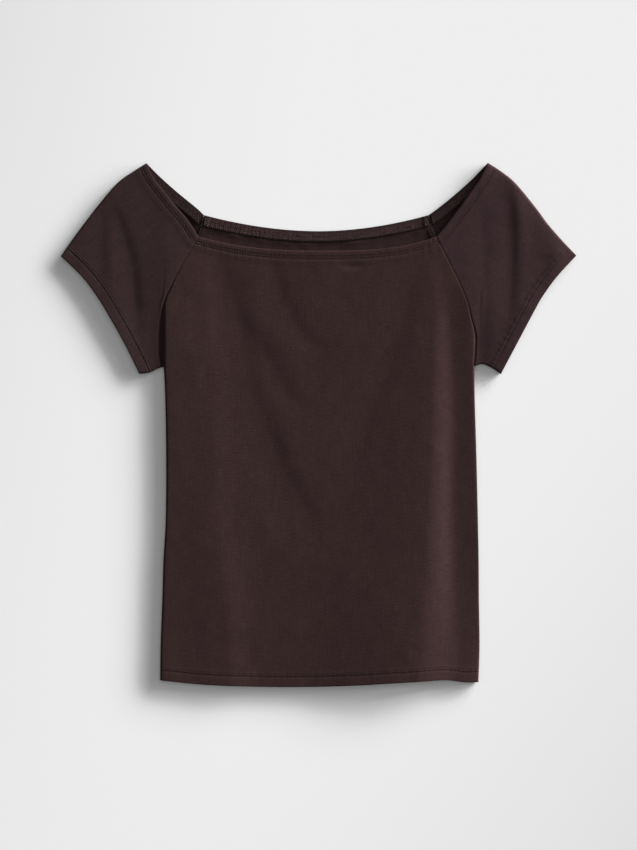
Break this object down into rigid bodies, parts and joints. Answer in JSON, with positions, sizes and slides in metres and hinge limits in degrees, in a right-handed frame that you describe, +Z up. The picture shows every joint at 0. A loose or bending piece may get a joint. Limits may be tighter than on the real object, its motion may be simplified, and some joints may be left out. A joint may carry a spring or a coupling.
{
  "type": "off-shoulder top",
  "caption": "Fitted off-shoulder jersey top with short raglan sleeves, an elastic turned neck edge and stitched hems, laid flat with its front up.",
  "frame": {"origin": "on the surface that the garment lies on, under the middle of its outline", "axes": "+Y from the hem to the neck, +Z up from the surface, +X to the wearer's left"},
  "size_m": [0.6079, 0.6181, 0.0083],
  "materials": {
    "front_jersey": "matte fine jersey, dark brown",
    "back_jersey": "matte fine jersey, dark brown",
    "right_sleeve_jersey": "matte fine jersey, dark brown",
    "left_sleeve_jersey": "matte fine jersey, dark brown",
    "back_turning_jersey": "matte fine jersey, inner side, dark brown",
    "right_turning_jersey": "matte fine jersey, inner side, dark brown",
    "left_turning_jersey": "matte fine jersey, inner side, dark brown",
    "right_allowance_jersey": "overlocked jersey edge, dark brown",
    "left_allowance_jersey": "overlocked jersey edge, dark brown"
  },
  "bodies": {
    "root": {"front": "front_jersey", "back": "back_jersey", "right_sleeve": "right_sleeve_jersey", "left_sleeve": "left_sleeve_jersey", "back_neck_turning": "back_turning_jersey", "right_neck_turning": "right_turning_jersey", "left_neck_turning": "left_turning_jersey", "right_seam_allowance": "right_allowance_jersey", "left_seam_allowance": "left_allowance_jersey"}
  },
  "joints": []
}
